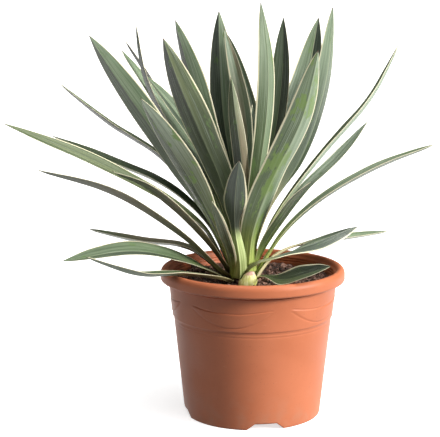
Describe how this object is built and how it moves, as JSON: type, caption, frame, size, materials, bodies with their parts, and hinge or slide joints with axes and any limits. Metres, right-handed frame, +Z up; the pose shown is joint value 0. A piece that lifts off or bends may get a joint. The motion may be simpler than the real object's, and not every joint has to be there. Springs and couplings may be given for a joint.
{
  "type": "potted yucca",
  "caption": "Rosette of stiff, sword-shaped, striped leaves on a short stem, growing in potting mix in a tapered plastic pot with a rolled rim.",
  "frame": {"origin": "centre of the pot's underside, on its axis, in the plane that it stands on", "axes": "+Z up along the pot's axis, +X to the right and +Y to the back, seen from the rosette's open side"},
  "size_m": [0.559, 0.37, 0.535],
  "materials": {
    "pot": "satin",
    "soil": "matte",
    "stem": "matte",
    "stub": "satin",
    "leaf": "satin"
  },
  "bodies": {
    "root": {"pot": "pot", "soil": "soil", "stem": "stem", "cut_stub": "stub", "leaf_01": "leaf", "leaf_02": "leaf", "leaf_03": "leaf", "leaf_04": "leaf", "leaf_05": "leaf", "leaf_06": "leaf", "leaf_07": "leaf", "leaf_08": "leaf", "leaf_09": "leaf", "leaf_10": "leaf", "leaf_11": "leaf", "leaf_12": "leaf", "leaf_13": "leaf", "leaf_14": "leaf", "leaf_15": "leaf", "leaf_16": "leaf", "leaf_17": "leaf", "leaf_18": "leaf", "leaf_19": "leaf", "leaf_20": "leaf", "leaf_21": "leaf", "leaf_22": "leaf", "leaf_23": "leaf", "leaf_24": "leaf", "leaf_25": "leaf", "leaf_26": "leaf", "leaf_27": "leaf", "leaf_28": "leaf", "leaf_29": "leaf", "leaf_30": "leaf", "leaf_31": "leaf", "leaf_32": "leaf", "leaf_33": "leaf", "leaf_34": "leaf", "leaf_35": "leaf", "leaf_36": "leaf", "leaf_37": "leaf", "leaf_38": "leaf", "leaf_39": "leaf", "leaf_40": "leaf"}
  },
  "joints": []
}
